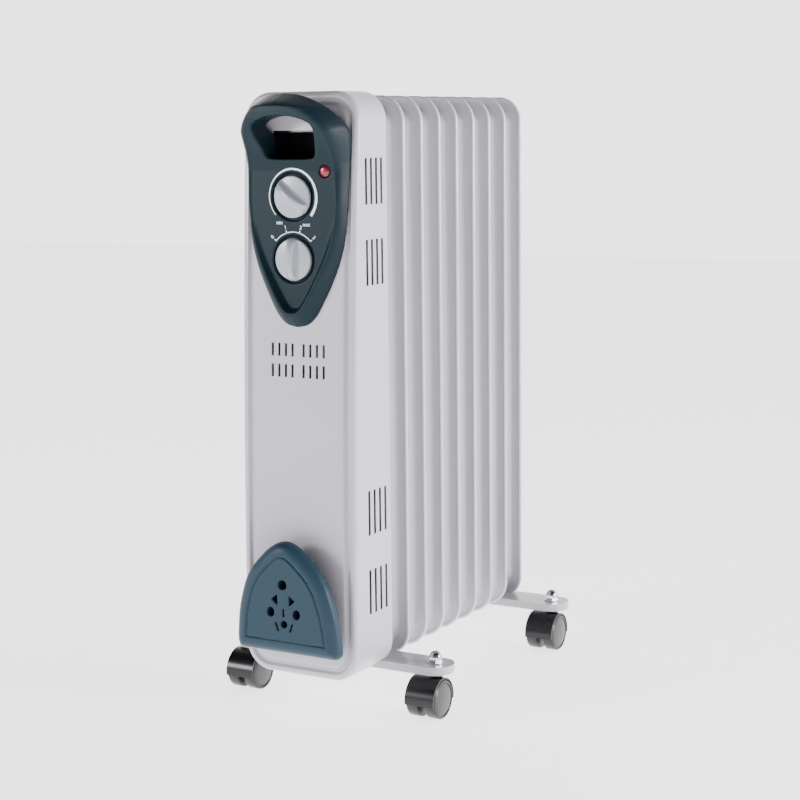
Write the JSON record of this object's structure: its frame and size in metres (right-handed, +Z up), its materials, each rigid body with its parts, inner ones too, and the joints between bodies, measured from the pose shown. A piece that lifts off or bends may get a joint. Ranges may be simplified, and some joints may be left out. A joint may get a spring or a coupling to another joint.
{
  "type": "oil filled radiator heater",
  "caption": "Free-standing oil filled radiator heater with pressed steel sections, a front control housing with handle, a cord wrap cover and swivel casters.",
  "frame": {"origin": "centre of the footprint's bounding box, on the floor under the casters", "axes": "+Z up; the control housing faces -Y; +X is the right-hand side seen from the front"},
  "size_m": [0.258, 0.4208, 0.6304],
  "materials": {
    "section_enamel": "semi-gloss enamel",
    "housing_enamel": "semi-gloss enamel",
    "galvanised": "galvanised",
    "zinc_screws": "zinc plated",
    "teal_plastic": "fine satin",
    "black_plastic": "gloss",
    "knob_plastic": "satin",
    "red_lens": "translucent",
    "lamp_glass": "clear",
    "control_plastic": "moulded",
    "foot_enamel": "semi-gloss enamel",
    "chrome_nuts": "polished",
    "steel_shafts": "bright steel",
    "wheel_plastic": "moulded nylon",
    "gasket_rubber": "fibre rubber",
    "element_steel": "oxidised tube"
  },
  "bodies": {
    "heater": {"front_housing": "housing_enamel", "back_plate": "galvanised", "housing_lugs": "galvanised", "back_plate_screws": "zinc_screws", "control_bezel": "teal_plastic", "hand_pocket": "black_plastic", "indicator_lens": "red_lens", "cord_wrap_cover": "teal_plastic", "front_foot_bracket": "foot_enamel", "rear_foot_bracket": "foot_enamel", "cap_nuts": "chrome_nuts", "caster_washers": "zinc_screws", "caster_collars": "black_plastic", "caster_studs": "steel_shafts", "thermostat_body": "control_plastic", "switch_body": "control_plastic", "indicator_lamp": "lamp_glass", "heating_element": "element_steel", "element_flange": "zinc_screws", "element_gasket": "gasket_rubber", "element_seat_ring": "galvanised", "element_bolts": "zinc_screws", "thermal_cutout": "galvanised", "terminal_block": "control_plastic", "earth_stud": "galvanised", "cord_gland": "black_plastic", "u_bolts": "zinc_screws", "wing_nuts": "zinc_screws", "header_plugs": "section_enamel", "bezel_screws": "zinc_screws", "cover_screws": "zinc_screws", "fin_1": "section_enamel", "fin_2": "section_enamel", "fin_3": "section_enamel", "fin_4": "section_enamel", "fin_5": "section_enamel", "fin_6": "section_enamel", "fin_7": "section_enamel", "fin_8": "section_enamel", "fin_9": "section_enamel"},
    "thermostat": {"thermostat_knob": "knob_plastic", "thermostat_spindle": "steel_shafts"},
    "power_switch": {"power_switch_knob": "knob_plastic", "switch_spindle": "steel_shafts"},
    "front_left_caster": {"front_left_hood": "black_plastic", "front_left_axle": "steel_shafts"},
    "front_left_wheel_left_body": {"front_left_wheel_left": "wheel_plastic"},
    "front_left_wheel_right_body": {"front_left_wheel_right": "wheel_plastic"},
    "front_right_caster": {"front_right_hood": "black_plastic", "front_right_axle": "steel_shafts"},
    "front_right_wheel_left_body": {"front_right_wheel_left": "wheel_plastic"},
    "front_right_wheel_right_body": {"front_right_wheel_right": "wheel_plastic"},
    "rear_left_caster": {"rear_left_hood": "black_plastic", "rear_left_axle": "steel_shafts"},
    "rear_left_wheel_left_body": {"rear_left_wheel_left": "wheel_plastic"},
    "rear_left_wheel_right_body": {"rear_left_wheel_right": "wheel_plastic"},
    "rear_right_caster": {"rear_right_hood": "black_plastic", "rear_right_axle": "steel_shafts"},
    "rear_right_wheel_left_body": {"rear_right_wheel_left": "wheel_plastic"},
    "rear_right_wheel_right_body": {"rear_right_wheel_right": "wheel_plastic"}
  },
  "joints": [
    {"name": "thermostat_turn", "type": "hinge", "parent": "heater", "child": "thermostat", "pos_m": [0, -0.1734, 0.5287], "axis": [0, -1, 0], "range_deg": [-183, 79]},
    {"name": "power_switch_turn", "type": "hinge", "parent": "heater", "child": "power_switch", "pos_m": [0, -0.1734, 0.4676], "axis": [0, -1, 0], "range_deg": [-48, 48]},
    {"name": "front_left_swivel", "type": "hinge", "parent": "heater", "child": "front_left_caster", "pos_m": [-0.1095, -0.0919, 0], "axis": [0, 0, 1], "continuous": true},
    {"name": "front_left_wheel_left_spin", "type": "hinge", "parent": "front_left_caster", "child": "front_left_wheel_left_body", "pos_m": [-0.1095, -0.1059, 0.02], "axis": [1, 0, 0], "continuous": true},
    {"name": "front_left_wheel_right_spin", "type": "hinge", "parent": "front_left_caster", "child": "front_left_wheel_right_body", "pos_m": [-0.1095, -0.1059, 0.02], "axis": [1, 0, 0], "continuous": true},
    {"name": "front_right_swivel", "type": "hinge", "parent": "heater", "child": "front_right_caster", "pos_m": [0.1095, -0.0919, 0], "axis": [0, 0, 1], "continuous": true},
    {"name": "front_right_wheel_left_spin", "type": "hinge", "parent": "front_right_caster", "child": "front_right_wheel_left_body", "pos_m": [0.1095, -0.1059, 0.02], "axis": [1, 0, 0], "continuous": true},
    {"name": "front_right_wheel_right_spin", "type": "hinge", "parent": "front_right_caster", "child": "front_right_wheel_right_body", "pos_m": [0.1095, -0.1059, 0.02], "axis": [1, 0, 0], "continuous": true},
    {"name": "rear_left_swivel", "type": "hinge", "parent": "heater", "child": "rear_left_caster", "pos_m": [-0.1095, 0.1879, 0], "axis": [0, 0, 1], "continuous": true},
    {"name": "rear_left_wheel_left_spin", "type": "hinge", "parent": "rear_left_caster", "child": "rear_left_wheel_left_body", "pos_m": [-0.1095, 0.1739, 0.02], "axis": [1, 0, 0], "continuous": true},
    {"name": "rear_left_wheel_right_spin", "type": "hinge", "parent": "rear_left_caster", "child": "rear_left_wheel_right_body", "pos_m": [-0.1095, 0.1739, 0.02], "axis": [1, 0, 0], "continuous": true},
    {"name": "rear_right_swivel", "type": "hinge", "parent": "heater", "child": "rear_right_caster", "pos_m": [0.1095, 0.1879, 0], "axis": [0, 0, 1], "continuous": true},
    {"name": "rear_right_wheel_left_spin", "type": "hinge", "parent": "rear_right_caster", "child": "rear_right_wheel_left_body", "pos_m": [0.1095, 0.1739, 0.02], "axis": [1, 0, 0], "continuous": true},
    {"name": "rear_right_wheel_right_spin", "type": "hinge", "parent": "rear_right_caster", "child": "rear_right_wheel_right_body", "pos_m": [0.1095, 0.1739, 0.02], "axis": [1, 0, 0], "continuous": true}
  ]
}
